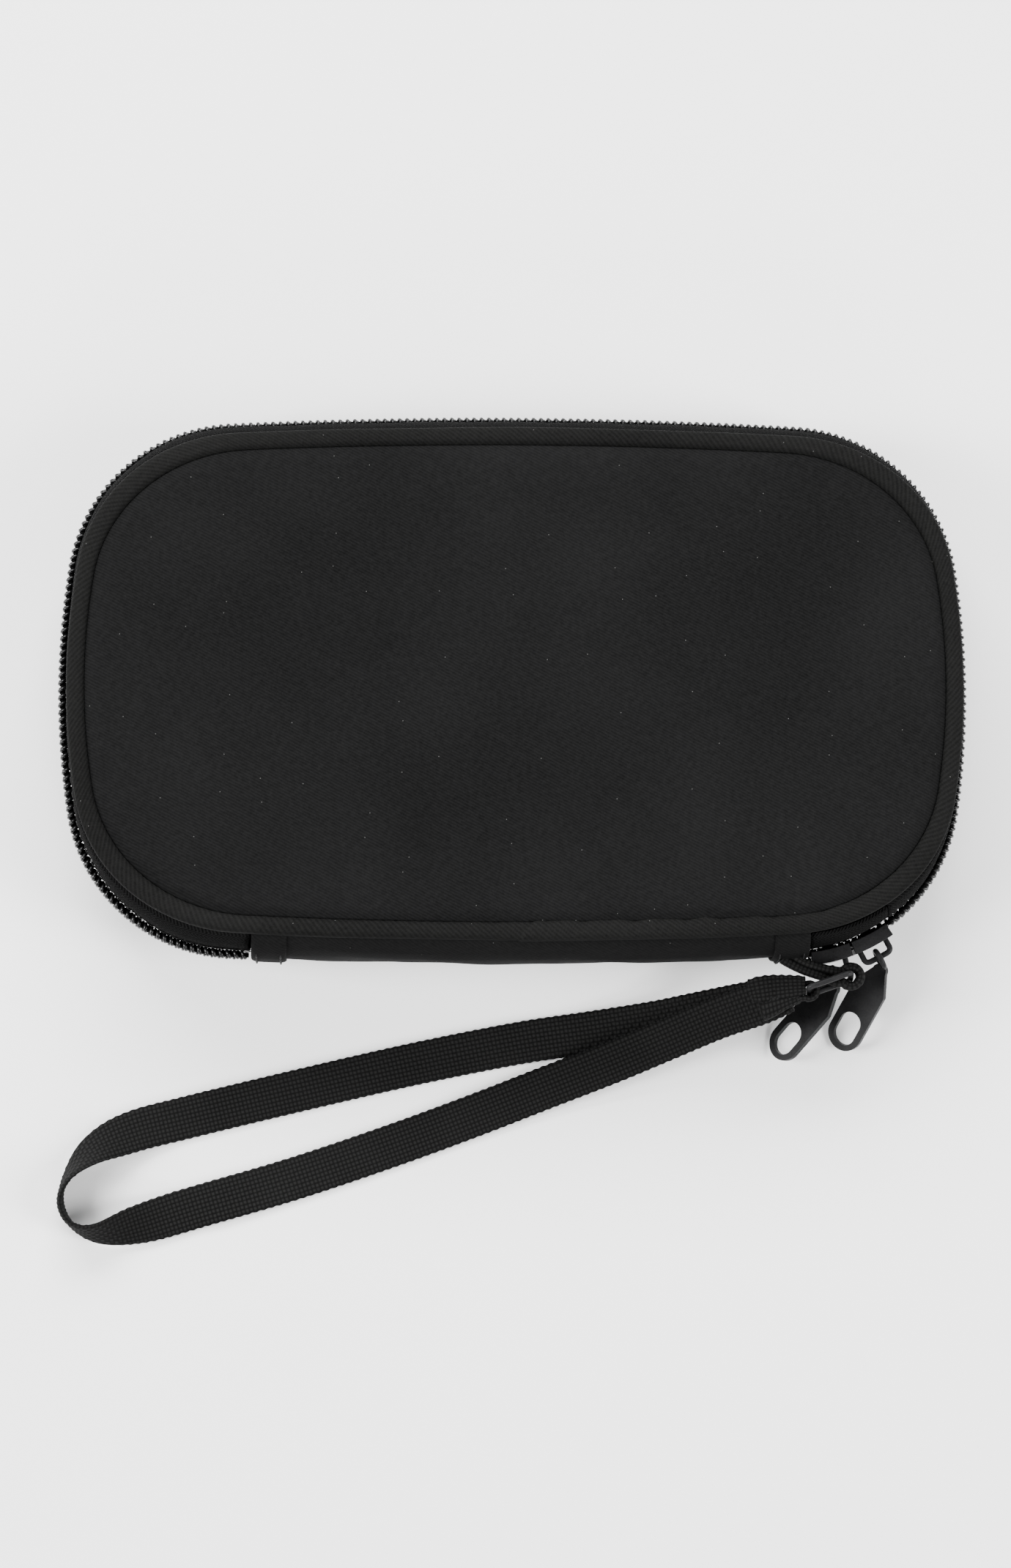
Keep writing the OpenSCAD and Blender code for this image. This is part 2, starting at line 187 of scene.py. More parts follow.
def cloudy(tree, spot, scale, detail=2.0):
    """Cloudy noise, from about 0 to 1."""
    return knot(tree, "ShaderNodeTexNoise", spot, None, scale, detail)[0]


table_top, tree, shader = stuff("table_top", 0.85, (0.9, 0.9, 0.9), specular=0.1)
grain = cloudy(tree, on_piece(tree), 40.0)
coloured(tree, shader, grain, (0.89, 0.89, 0.89), (0.91, 0.91, 0.91))
table_half = 14
sheet = bmesh.new()
bmesh.ops.create_grid(sheet, x_segments=8, y_segments=8, size=table_half)
table = bpy.data.objects.new("table", bpy.data.meshes.new("table"))
sheet.to_mesh(table.data)
sheet.free()
table.data.materials.append(table_top)
bpy.context.scene.collection.objects.link(table)

# ---- The wrist strap ----
# One length of 10 mm nylon webbing, woven on a needle loom, so its edges are lightly toothed.
# It runs from the ring round the hand loop and back; at the far end it turns on its edge.
# Each point is x, y, the height of the lowest edge, the tilt in degrees, and the width's share.
strap_route = [
    (0.060, -0.0672, 0.0164, -12, 0.8),
    (0.054, -0.0684, 0.0130, -6, 1),
    (0.044, -0.0702, 0.0078, 0, 1),
    (0.032, -0.0726, 0.0030, 0, 1),
    (0.018, -0.0748, 0.0005, 0, 1),
    (0.002, -0.0772, 0.0001, 0, 1),
    (-0.022, -0.0820, 0.0001, 0, 1),
    (-0.048, -0.0880, 0.0001, 0, 1),
    (-0.072, -0.0938, 0.0001, 0, 1),
    (-0.084, -0.0970, 0.0001, 12, 1),
    (-0.0925, -0.1010, 0.0001, 45, 1),
    (-0.0978, -0.1066, 0.0001, 78, 1),
    (-0.0994, -0.1124, 0.0001, 90, 1),
    (-0.0968, -0.1174, 0.0001, 86, 1),
    (-0.091, -0.1192, 0.0001, 62, 1),
    (-0.082, -0.1172, 0.0001, 24, 1),
    (-0.070, -0.1136, 0.0001, 0, 1),
    (-0.048, -0.1072, 0.0001, 0, 1),
    (-0.026, -0.0998, 0.0001, 0, 1),
    (-0.008, -0.0932, 0.0003, 0, 1),
    (0.008, -0.0870, 0.0012, 0, 1),
    (0.022, -0.0816, 0.0029, 0, 1),
    (0.034, -0.0766, 0.0056, 0, 1),
    (0.045, -0.0720, 0.0100, 0, 1),
    (0.054, -0.0690, 0.0152, 6, 1),
    (0.060, -0.0674, 0.0186, 12, 0.8),
]
strap_w = 9.6 * mm
strap_t = 1.5 * mm
pick = 0.9 * mm
warp = strap_w / 10


def smooth_line(points, cuts):
    """A smooth curve through the points, cut into that many stretches between each two."""
    points = np.array(points, float)
    last = len(points) - 1
    line = []
    for i in range(last):
        a, b = points[max(i - 1, 0)], points[i]
        c, d = points[i + 1], points[min(i + 2, last)]
        for t in np.arange(cuts) / cuts:
            line.append(0.5 * (2 * b + (c - a) * t + (2 * a - 5 * b + 4 * c - d) * t * t
                               + (3 * b - a - 3 * c + d) * t ** 3))
    line.append(points[last])
    return np.array(line)


def run_length(line):
    """How far each point is along the line."""
    steps = np.linalg.norm(np.diff(line[:, :3], axis=0), axis=1)
    return np.concatenate([[0], np.cumsum(steps)])


def even_steps(line, step):
    """The same curve with its points about one step apart."""
    length = run_length(line)
    n = max(2, int(round(length[-1] / step)) + 1)
    at = np.linspace(0, length[-1], n)
    return np.stack([np.interp(at, length, line[:, k]) for k in range(line.shape[1])], 1)


def unit(v):
    """The same directions, each one long."""
    return v / np.maximum(np.linalg.norm(v, axis=-1, keepdims=True), 1e-12)


def sewn_up(name, rows, run_closes=False, cloth=None):
    """A closed skin over rows of points: one row for each step of the run, round its section.
    Its UV map holds millimetres along the run and round the section."""
    rows = np.asarray(rows, float)
    n, m = rows.shape[:2]
    steps = n if run_closes else n - 1
    i = np.arange(steps)[:, None]
    j = np.arange(m)[None, :]
    ahead = (i + 1) % n
    beside = (j + 1) % m
    quads = np.stack([i * m + j, i * m + beside, ahead * m + beside, ahead * m + j], -1)
    faces = quads.reshape(-1, 4).tolist()
    middle = rows.mean(axis=1)
    if run_closes:
        middle = np.vstack([middle, middle[:1]])
    along = run_length(middle) * 1000
    section = rows[n // 2]
    section = np.vstack([section, section[:1]])
    round_it = run_length(section) * 1000
    uv = np.empty((steps, m, 4, 2))
    for corner, (a, b) in enumerate(((0, 0), (0, 1), (1, 1), (1, 0))):
        uv[:, :, corner, 0] = along[a:a + steps, None]
        uv[:, :, corner, 1] = round_it[None, b:b + m]
    uv = uv.reshape(-1, 2)
    if not run_closes:
        faces.append(list(range(m)))
        faces.append(list(range((n - 1) * m, n * m)))
        uv = np.vstack([uv, np.zeros((2 * m, 2))])
    made = bpy.data.meshes.new(name)
    made.from_pydata(rows.reshape(-1, 3).tolist(), [], faces)
    made.uv_layers.new(name="cloth").data.foreach_set("uv", uv.ravel())
    return finished(name, made, cloth)


def finished(name, made, cloth):
    """Turns a mesh's faces outwards, smooths it and makes it an object."""
    work = bmesh.new()
    work.from_mesh(made)
    bmesh.ops.recalc_face_normals(work, faces=work.faces)
    work.to_mesh(made)
    work.free()
    made.shade_smooth()
    made.materials.append(cloth)
    piece = bpy.data.objects.new(name, made)
    bpy.context.scene.collection.objects.link(piece)
    return piece


def fixed(piece, body, slot, *nodes):
    """The piece moves with that body and stands for those nodes. The slot is not used."""
    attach(piece, body)
    if nodes:
        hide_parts(*nodes)
    return piece


webbing, tree, shader = stuff("webbing", 0.65, sheen=0.004, specular=0.03)
shader.inputs["Sheen Tint"].default_value = (0.5, 0.5, 0.52, 1)
cloth_map = knot(tree, "ShaderNodeUVMap", uv_map="cloth")[0]
split = knot(tree, "ShaderNodeSeparateXYZ", cloth_map)
across_yarn = maths(tree, "COSINE", maths(tree, "MULTIPLY", split[0], math.pi / (pick * 1000)))
along_yarn = maths(tree, "COSINE", maths(tree, "MULTIPLY", split[1], math.pi / (warp * 1000)))
over = maths(tree, "MULTIPLY", across_yarn, along_yarn)
fibre_spot = knot(tree, "ShaderNodeMapping", cloth_map, None, None, (2.0, 9.0, 1.0))[0]
fibre = cloudy(tree, fibre_spot, 1.6, 3.0)
worn = cloudy(tree, cloth_map, 0.05)
pebble = maths(tree, "ABSOLUTE", over)
height = maths(tree, "MULTIPLY_ADD", pebble, 0.9, maths(tree, "MULTIPLY", fibre, 0.5))
# The colour follows the yarns' height, darker in the gaps between them: painted shade, with a random
# worn tone over it.
shade = maths(tree, "MULTIPLY_ADD", height, 0.6, maths(tree, "MULTIPLY", worn, 0.2))
shade = maths(tree, "SUBTRACT", shade, 0.12)
coloured(tree, shader, shade, (0.0003, 0.0003, 0.0003), (0.0155, 0.0155, 0.0152))
roughened(tree, shader, fibre, 0.3, 0.5)
raised(tree, shader, height, 0.00012, 0.7)


def woven_strip(name, route):
    """A length of the webbing along a route: a toothed, pebbled strip. Returns it and the
    line down its middle."""
    line = even_steps(smooth_line(route, 14), 0.25 * mm)
    way = line[:, :3]
    ahead = unit(np.gradient(way, axis=0))
    flat = unit(np.stack([-ahead[:, 1], ahead[:, 0], 0 * ahead[:, 0]], 1))
    rise = unit(np.cross(ahead, flat))
    tilt = np.radians(line[:, 3])[:, None]
    half = strap_w / 2 * line[:, 4][:, None]
    across = flat * np.cos(tilt) + rise * np.sin(tilt)
    face = np.cross(ahead, across)
    middle = way.copy()
    middle[:, 2] = (np.maximum(line[:, 2], 0.1 * mm) + (half * np.abs(np.sin(tilt)))[:, 0]
                    + strap_t / 2 * np.abs(np.cos(tilt))[:, 0])
    reach = run_length(middle)
    share = np.linspace(-1, 1, 30)
    plump = (1 - np.abs(share) ** 6) ** 0.5
    picks = np.cos(math.pi * reach / pick)[:, None]
    ups = picks * np.cos(math.pi * share * strap_w / 2 / warp)[None, :]
    tooth_deep, pebble_deep = 0.1 * mm, 0.15 * mm
    teeth = tooth_deep * picks * np.abs(share)[None, :] ** 4
    lift = plump[None, :] * (strap_t / 2 - pebble_deep + pebble_deep * ups)
    out = share[None, :] * (half - tooth_deep) + np.sign(share)[None, :] * teeth
    top = middle[:, None] + across[:, None] * out[..., None] + face[:, None] * lift[..., None]
    under = middle[:, None] + across[:, None] * out[..., None] - face[:, None] * lift[..., None]
    strip = sewn_up(name, np.concatenate([top, under[:, -2:0:-1]], axis=1), cloth=webbing)
    return strip, middle


strap, strap_mid = woven_strip("hand_loop_webbing", strap_route)
fixed(strap, "wrist_strap_body", "webbing", "wrist_strap")

# ---- The outline of the pouch ----
# Both halves are cut to one shape: a long oblong with four round corners and gently bowed
# sides. The line starts at the zip's left end, by the spine, and runs along the spine first.
edge_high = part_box("back_zip_coil")[1]
half_w = edge_high.x
half_h = edge_high.y
corner_x, corner_y = next(
    (j["pos_m"][0], -j["pos_m"][1]) for j in frame["joints"] if j["name"] == "right_slider_travel"
)
bow = 1.6 * mm
corner_r = half_w - corner_x - bow
spine_low, spine_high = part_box("spine")
zip_left = spine_low.x - 0.5 * mm


def bow_radius(u, v):
    """The radius of the bowed side that runs smoothly on from the corner arcs."""
    return (u * u + v * v - corner_r * corner_r) / (2 * (u - corner_r))


long_r = bow_radius(half_h - corner_y, corner_x)
short_r = bow_radius(half_w - corner_x, corner_y)
long_y = half_h - long_r
short_x = half_w - short_r
short_a = math.atan2(corner_y, corner_x - short_x)
long_a = math.atan2(corner_x, corner_y - long_y)
down = -math.pi / 2
arcs = [
    ((0, -long_y), long_r, down + math.asin(zip_left / long_r), down + long_a),
    ((corner_x, -corner_y), corner_r, down + long_a, -short_a),
    ((short_x, 0), short_r, -short_a, short_a),
    ((corner_x, corner_y), corner_r, short_a, -down - long_a),
    ((0, long_y), long_r, -down - long_a, -down + long_a),
    ((-corner_x, corner_y), corner_r, -down + long_a, math.pi - short_a),
    ((-short_x, 0), short_r, math.pi - short_a, math.pi + short_a),
    ((-corner_x, -corner_y), corner_r, math.pi + short_a, 3 * -down - long_a),
    ((0, -long_y), long_r, 3 * -down - long_a, 3 * -down + math.asin(zip_left / long_r)),
]
arc_ends = np.cumsum([0] + [r * (b - a) for _, r, a, b in arcs])
girth = arc_ends[-1]


def on_edge(s):
    """The points of the outline at those lengths along it, and the directions out of it."""
    s = np.asarray(s, float) % girth
    k = np.clip(np.searchsorted(arc_ends, s, side="right") - 1, 0, len(arcs) - 1)
    centre = np.array([arc[0] for arc in arcs])[k]
    radius = np.array([arc[1] for arc in arcs])[k]
    start = np.array([arc[2] for arc in arcs])[k]
    turn = start + (s - arc_ends[k]) / radius
    outward = np.stack([np.cos(turn), np.sin(turn)], -1)
    return centre + radius[:, None] * outward, outward


def drawn_in(points, dx, dy):
    """The outline pulled in by dx at the sides and dy at the long sides."""
    shrink = np.array([(half_w - dx) / half_w, (half_h - dy) / half_h])
    return points * shrink


corner_turn = math.radians(-84) - (down + long_a)
zip_right = arc_ends[1] + corner_r * corner_turn
side_middle = (arc_ends[2] + arc_ends[3]) / 2
bind_in_x, bind_in_y = 2.9 * mm, 5 * mm
binding_w = 3.9 * mm
seam_x, seam_y = bind_in_x + binding_w, bind_in_y + binding_w
depth = cad_box[1][2]

# ---- The padded panels ----
# Each half is black nylon twill over foam, with a lining, all caught in the binding's seam.
# The foam makes the front stand up in a low crown with soft waves; the back lies flat.
round_count = 300
half_count = round_count // 2
edge_s = side_middle + np.arange(round_count) * girth / round_count
panel_edge = drawn_in(on_edge(edge_s)[0], seam_x, seam_y)
panel_edge[0, 1] = panel_edge[half_count, 1] = 0
panel_edge[half_count + 1:] = panel_edge[half_count - 1:0:-1] * [1, -1]
keel = (half_w - seam_x) - (half_h - seam_y)
keel_line = np.stack([panel_edge[:, 0] * keel / (half_w - seam_x), 0 * panel_edge[:, 0]], 1)
edge_reach = np.linalg.norm(panel_edge - keel_line, axis=1)


def ring_at(t):
    """The closed ring a share t of the way from the seam to the middle."""
    return panel_edge + (keel_line - panel_edge) * t


def folded_rings(levels, one_sheet=False):
    """Faces between rings of points, with the two sides joined along the middle line."""
    points = [levels[0][:half_count + 1]] if not one_sheet else []
    first = [min(i, round_count - i) for i in range(round_count)]
    ids = [] if one_sheet else [first]
    total = 0 if one_sheet else half_count + 1
    for ring in levels[0 if one_sheet else 1:-1]:
        ids.append([total + i for i in range(round_count)])
        points.append(ring)
        total += round_count
    ids.append([total + i for i in first])
    points.append(levels[-1][:half_count + 1])
    faces = []
    for a, b in zip(ids, ids[1:]):
        for i in range(round_count):
            k = (i + 1) % round_count
            face = list(dict.fromkeys([a[i], a[k], b[k], b[i]]))
            if len(face) > 2:
                faces.append(face)
    return np.vstack(points), faces, ids


def pressed_out(rings, cap):
    """How far a cloth held along its edge moves when air fills it: a cloth simulation, run
    ten times life size. Returns the moves of every ring's points."""
    larger = 10
    share = np.linspace(0, 1, rings)
    levels = [np.hstack([ring_at(t) * larger, np.zeros((round_count, 1))]) for t in share]
    points, faces, ids = folded_rings(levels, one_sheet=True)
    made = bpy.data.meshes.new("filled_cloth")
    made.from_pydata(points.tolist(), [], faces)
    sheet = bpy.data.objects.new("filled_cloth", made)
    bpy.context.scene.collection.objects.link(sheet)
    held = sheet.vertex_groups.new(name="held")
    held.add(ids[0], 1.0, "REPLACE")
    air = sheet.modifiers.new("air", "CLOTH")
    air.settings.quality = 5
    air.settings.mass = 0.25
    air.settings.tension_stiffness = 12
    air.settings.compression_stiffness = 12
    air.settings.shear_stiffness = 4
    air.settings.bending_stiffness = 1.5
    air.settings.shrink_min = -0.012
    air.settings.vertex_group_mass = "held"
    air.settings.use_pressure = True
    air.settings.uniform_pressure_force = 4
    air.settings.effector_weights.gravity = 0
    for step in range(1, 21):
        bpy.context.scene.frame_set(step)
    blown = sheet.evaluated_get(bpy.context.evaluated_depsgraph_get())
    after = np.empty(len(points) * 3)
    blown.data.vertices.foreach_get("co", after)
    moves = (after.reshape(-1, 3) - points) / larger
    bpy.context.scene.frame_set(1)
    bpy.data.objects.remove(sheet)
    if moves[:, 2].mean() < 0:
        moves[:, 2] *= -1
    moves[:, 2] = cap * np.tanh(moves[:, 2] / cap)
    slide = 0.4 * mm
    moves[:, :2] = np.clip(moves[:, :2], -slide, slide)
    return share, np.array([moves[row] for row in ids])


crown = 0.6 * mm
crown_at, crown_moves = pressed_out(24, crown)


def crowned(t, share):
    """The moves of the ring at t, from the filled cloth, times that share."""
    at = np.clip(t, 0, 1) * (len(crown_at) - 1)
    k = min(int(at), len(crown_at) - 2)
    return (crown_moves[k] * (1 - at + k) + crown_moves[k + 1] * (at - k)) * share


def soft_waves(points):
    """Broad low waves of cloth over foam, with four shallow dents near the seam."""
    x, y = points[:, 0] / mm, points[:, 1] / mm
    wave = 0.46 * np.sin((0.40 * x - 0.92 * y) * 2 * math.pi / 62 + 0.9)
    wave += 0.27 * np.sin((0.75 * x + 0.66 * y) * 2 * math.pi / 71 + 2.3)
    wave += 0.12 * np.sin((0.20 * x - 0.98 * y) * 2 * math.pi / 33 + 4.0 + 0.02 * x)
    wave -= 1.25 * np.exp(-((x + 18 - 0.3 * (y + 35)) ** 2 / 60 + (y + 35) ** 2 / 170))
    for dent_x, dent_y, deep, spread in ((-54, 44, 0.75, 90), (-22, 50, 0.70, 80), (62, -38, 0.55, 60)):
        wave -= deep * np.exp(-((x - dent_x) ** 2 + (y - dent_y) ** 2) / spread)
    return wave * mm


def sheet_ring(t, z, sign=1, fill=0, waves=0, drop=0, roll=1 * mm, grow=0):
    """One ring of a padded face, from its z, the sign of its outer side, how far it is filled
    and waved, its drop at the seam, the roll's length, and how much larger it is cut."""
    flat_ring = ring_at(t)
    if grow:
        outward = unit(flat_ring - keel_line * 0.98)
        flat_ring = flat_ring + outward * grow
    moves = crowned(t, fill)
    gap = edge_reach * t
    settle = 1 - np.exp(-gap / roll)
    height = moves[:, 2] + soft_waves(flat_ring) * waves * (1 - np.exp(-gap / (9 * mm)))
    around = np.arange(round_count) * girth / round_count
    # small puckers at every stitch, and longer gathers where the seam was sewn tight
    pucker = 0.06 * mm * np.sin(around * 2 * math.pi / (3.1 * mm) + 1.5 * np.sin(around * 90))
    height += pucker * (waves > 0) * np.exp(-gap / (2.2 * mm))
    x, y = flat_ring[:, 0] / mm, flat_ring[:, 1] / mm
    tight = np.exp(-((x - 38) / 34) ** 2) * (y < 0) + 0.8 * np.exp(-((y + 14) / 16) ** 2) * (x < 0)
    tight += 0.7 * np.exp(-((y + 20) / 18) ** 2) * (x > 0)
    gather = np.sin(around * 2 * math.pi / (7.6 * mm) + 2 * np.sin(around * 61))
    height += 0.17 * mm * tight * gather * waves * np.exp(-gap / (4.5 * mm))
    level = z + sign * (height * settle - drop * (1 - settle))
    return np.column_stack([flat_ring + moves[:, :2] * (fill > 0.5), level])


def padded_layer(name, faces_at, cloth):
    """A closed padded form from its upper and lower face, each a function of t."""
    shares = np.concatenate([[0, 0.006, 0.014, 0.025, 0.04, 0.06, 0.09], np.linspace(0.13, 1, 26)])
    upper, lower = faces_at
    levels = [upper(t) for t in shares[::-1]] + [lower(t) for t in shares]
    points, faces, _ = folded_rings(levels)
    made = bpy.data.meshes.new(name)
    made.from_pydata(points.tolist(), [], faces)
    return finished(name, made, cloth)


def twill(name, dark, light, pitch, slant, roughness, sheen, mapped=False):
    """Nylon twill: fine slanting ribs, softer between them and with painted shade there, broad painted
    patches of light and shade, and a few specks of lint. It is laid out in millimetres, over the piece
    or along its own cloth map."""
    made, tree, shader = stuff(name, roughness, sheen=sheen, specular=0.015)
    shader.inputs["Sheen Tint"].default_value = (0.75, 0.75, 0.78, 1)
    if mapped:
        spot = knot(tree, "ShaderNodeUVMap", uv_map="cloth")[0]
    else:
        spot = on_piece(tree, 1000.0)
    axis = knot(tree, "ShaderNodeSeparateXYZ", spot)
    wander = cloudy(tree, spot, 0.35)
    yarn = cloudy(tree, spot, 2.4, 3.0)
    nx, ny = math.sin(slant) * 2 * math.pi / pitch, math.cos(slant) * 2 * math.pi / pitch
    phase = maths(tree, "MULTIPLY_ADD", axis[0], nx, maths(tree, "MULTIPLY", axis[1], ny))
    rib = maths(tree, "SINE", maths(tree, "MULTIPLY_ADD", wander, 2.4, phase))
    pick_phase = maths(tree, "MULTIPLY_ADD", axis[0], 2 * ny, maths(tree, "MULTIPLY", axis[1], -nx))
    float_end = maths(tree, "SINE", pick_phase)
    weave = maths(tree, "MULTIPLY_ADD", float_end, 0.25, rib)
    height = maths(tree, "MULTIPLY_ADD", weave, 0.3, yarn)
    # broad patches of painted light and shade, some 45 mm across
    painted_shading = cloudy(tree, spot, 0.022, 3.0)
    mottle = cloudy(tree, spot, 0.95)
    # The colour follows the ribs' height, darker between them: painted shade, with a random mottle.
    shade = maths(tree, "MULTIPLY_ADD", height, 0.36, maths(tree, "MULTIPLY", painted_shading, 0.5))
    shade = maths(tree, "MULTIPLY_ADD", mottle, 0.42, shade)
    colour = graded(tree, maths(tree, "SUBTRACT", shade, 0.12), dark, light)
    cell = tree.nodes.new("ShaderNodeTexVoronoi")
    cell.voronoi_dimensions = "2D"
    cell.inputs["Scale"].default_value = 0.13
    cell.inputs["Randomness"].default_value = 1.0
    tree.links.new(spot, cell.inputs["Vector"])
    near = maths(tree, "LESS_THAN", cell.outputs["Distance"], 0.014)
    which = knot(tree, "ShaderNodeSeparateXYZ", cell.outputs["Color"])
    speck = maths(tree, "MULTIPLY", near, maths(tree, "GREATER_THAN", which[0], 0.66))
    blend = tree.nodes.new("ShaderNodeMix")
    blend.data_type = "RGBA"
    tree.links.new(maths(tree, "MULTIPLY", speck, 0.08), blend.inputs[0])
    tree.links.new(colour, blend.inputs[6])
    blend.inputs[7].default_value = (0.6, 0.6, 0.58, 1)
    colour = blend.outputs[2]
    tree.links.new(colour, shader.inputs["Base Color"])
    roughened(tree, shader, yarn, 0.2, roughness - 0.1)
    raised(tree, shader, height, 0.00010, 0.45)
    return made


panel_twill = twill("panel_twill", (0.0006, 0.0006, 0.0006), (0.0098, 0.0098, 0.0099),
                    0.62, math.radians(27), 0.7, 0.003)

lining_cloth, tree, shader = stuff("lining_cloth", 0.6, sheen=0.005, specular=0.04)
spot = on_piece(tree, 1000.0)
axis = knot(tree, "ShaderNodeSeparateXYZ", spot)
warps = maths(tree, "SINE", maths(tree, "MULTIPLY", axis[0], 2 * math.pi / 0.5))
wefts = maths(tree, "SINE", maths(tree, "MULTIPLY", axis[1], 2 * math.pi / 0.5))
slub = cloudy(tree, spot, 0.12, 3.0)
plain = maths(tree, "MULTIPLY_ADD", maths(tree, "MULTIPLY", warps, wefts), 0.3, slub)
coloured(tree, shader, plain, (0.0012, 0.0012, 0.0014), (0.0085, 0.0085, 0.0092))
raised(tree, shader, plain, 0.0001, 0.35)

foam_stuff, tree, shader = stuff("foam_stuff", 0.95, specular=0.2)
spot = on_piece(tree, 1000.0)
pores = knot(tree, "ShaderNodeTexVoronoi", spot, None, 1.7)[0]
coloured(tree, shader, pores, (0.06, 0.06, 0.062), (0.16, 0.16, 0.165))
raised(tree, shader, pores, 0.0003, 0.6)

front_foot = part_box("front_panel")[0].z
front_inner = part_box("front_lining")[0].z
foam_grow = -0.3 * mm
layers = [
    ("front_panel", "front_cover", "twill", panel_twill, 0.55, (
        lambda t: sheet_ring(t, depth - 0.3 * mm, 1, 1.0, 1.0, 0.7 * mm, 1.1 * mm),
        lambda t: sheet_ring(t, front_foot - 0.1 * mm))),
    ("front_foam", "front_cover", "foam", foam_stuff, 0.5, (
        lambda t: sheet_ring(t, front_foot - 0.2 * mm, grow=foam_grow),
        lambda t: sheet_ring(t, front_inner + 0.9 * mm, grow=foam_grow))),
    ("front_lining", "front_cover", "lining", lining_cloth, 0.4, (
        lambda t: sheet_ring(t, front_inner + 0.8 * mm),
        lambda t: sheet_ring(t, front_inner, -1, 0.25, 0.5, 0.5 * mm, 1.5 * mm))),
    ("back_panel", "pouch_back", "twill", panel_twill, 0.5, (
        lambda t: sheet_ring(t, 1.1 * mm),
        lambda t: sheet_ring(t, 0.0, -1, 0, 0, 0.8 * mm, 1.8 * mm))),
    ("back_foam", "pouch_back", "foam", foam_stuff, 0.5, (
        lambda t: sheet_ring(t, 3.9 * mm, grow=foam_grow),
        lambda t: sheet_ring(t, 1.2 * mm, grow=foam_grow))),
    ("back_lining", "pouch_back", "lining", lining_cloth, 0.4, (
        lambda t: sheet_ring(t, 4.5 * mm, 1, 0.25, 0.5, 0.5 * mm, 1.5 * mm),
        lambda t: sheet_ring(t, 4.0 * mm))),
]
for node, body, finish, cloth, fill, faces_at in layers:
    layer = padded_layer(node + "_cloth", faces_at, cloth)
    fixed(layer, body, finish, node)

# ---- The bindings ----
# A bias strip of the same twill, folded over a thin cord and sewn round each half. The front
# one shows its lapped join at the spine's side, with the strip's end folded to a slant.
binding_twill = twill("binding_twill", (0.0008, 0.0008, 0.0008), (0.0106, 0.0106, 0.0103),
                      0.9, math.radians(45), 0.7, 0.003, mapped=True)


def bound_edge(name, z_low, z_high, lap_at):
    """The binding between two heights: a puffy tube, pulled in at each stitch along its seam,
    with one end lapped over the other at lap_at."""
    step = 0.9 * mm
    s = np.arange(0, girth, step)
    fine = np.arange(lap_at - 6 * mm, lap_at + 6 * mm, 0.2 * mm)
    s = np.sort(np.concatenate([s[(s < fine[0]) | (s > fine[-1])], fine]))
    edge, outward = on_edge(s)
    turn = np.linspace(0, 2 * math.pi, 28, endpoint=False)
    side, up = np.cos(turn), np.sin(turn)
    side = np.sign(side) * np.abs(side) ** 0.62
    up = np.sign(up) * np.abs(up) ** 0.5
    mid_z, half_z = (z_low + z_high) / 2, (z_high - z_low) / 2
    stitch = 0.5 + 0.5 * np.cos(2 * math.pi * s / (2.9 * mm) + 0.8 * np.sin(s * 37))
    slow = np.sin(s * 2 * math.pi / 0.083 + 1) + 0.7 * np.sin(s * 2 * math.pi / 0.047)
    tight = np.exp(-((edge[:, 0] / mm - 38) / 30) ** 2) * (edge[:, 1] < 0) * (z_low > depth / 2)
    gathers = np.sin(s * 2 * math.pi / (11 * mm)) + 0.6 * np.sin(s * 2 * math.pi / (6.3 * mm) + 1)
    wobble = 0.28 * mm * tight * (gathers + 1.6)
    rows = []
    for w, h in zip(side, up):
        share = (1 - w) / 2
        pull = stitch * max(0, -w) ** 3 * 0.16 * mm
        extra = 0.06 * mm * slow * (1 - share)
        slant = lap_at + (share - 0.5) * 3.4 * mm
        ply = 0.14 * mm * (1 + np.tanh((s - slant) / (0.24 * mm)))
        ply = ply * np.exp(-np.maximum(s - slant, 0) / (14 * mm))
        away = extra - pull - wobble * share ** 2 + ply * w
        flat_ring = drawn_in(edge, bind_in_x + binding_w * share, bind_in_y + binding_w * share)
        flat_ring = flat_ring + outward * away[:, None]
        z = mid_z + h * (half_z - 0.35 * mm * max(0, -w) ** 2 + ply * max(h, 0)) - pull * np.sign(h)
        z = np.maximum(z, 0.02 * mm) if mid_z < depth / 2 else z
        rows.append(np.column_stack([flat_ring, np.broadcast_to(z, s.shape)]))
    return sewn_up(name, np.stack(rows, axis=1), run_closes=True, cloth=binding_twill)


binding_low, binding_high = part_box("front_binding")
lap_place = 60.3 * mm
puffed = 0.35 * mm
front_binding = bound_edge("front_binding_strip", binding_low.z, binding_high.z + puffed, lap_place)
fixed(front_binding, "front_cover", "binding", "front_binding")
back_low, back_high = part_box("back_binding")
back_lap_place = girth - 40 * mm
back_binding = bound_edge("back_binding_strip", back_low.z, back_high.z, back_lap_place)
fixed(back_binding, "pouch_back", "binding", "back_binding")

# ---- The zip tapes ----
# Two woven tapes, one from each binding to the coil, folded where they turn up to it. They are
# herringbone, with the two rows of stitches that hold the coil showing beside it.
tape_weave, tree, shader = stuff("tape_weave", 0.85, sheen=0.0, specular=0.01)
cloth_map = knot(tree, "ShaderNodeUVMap", uv_map="cloth")[0]
axis = knot(tree, "ShaderNodeSeparateXYZ", cloth_map)
zigzag = maths(tree, "PINGPONG", axis[1], 1.3)
bone_phase = maths(tree, "MULTIPLY", maths(tree, "ADD", axis[0], zigzag), 2 * math.pi / 0.8)
bone = maths(tree, "SINE", bone_phase)
fuzz = cloudy(tree, cloth_map, 2.5, 3.0)
height = maths(tree, "MULTIPLY_ADD", bone, 0.32, fuzz)
coloured(tree, shader, height, (0.0006, 0.0006, 0.0006), (0.0085, 0.0085, 0.0085))
raised(tree, shader, height, 0.00018, 0.8)

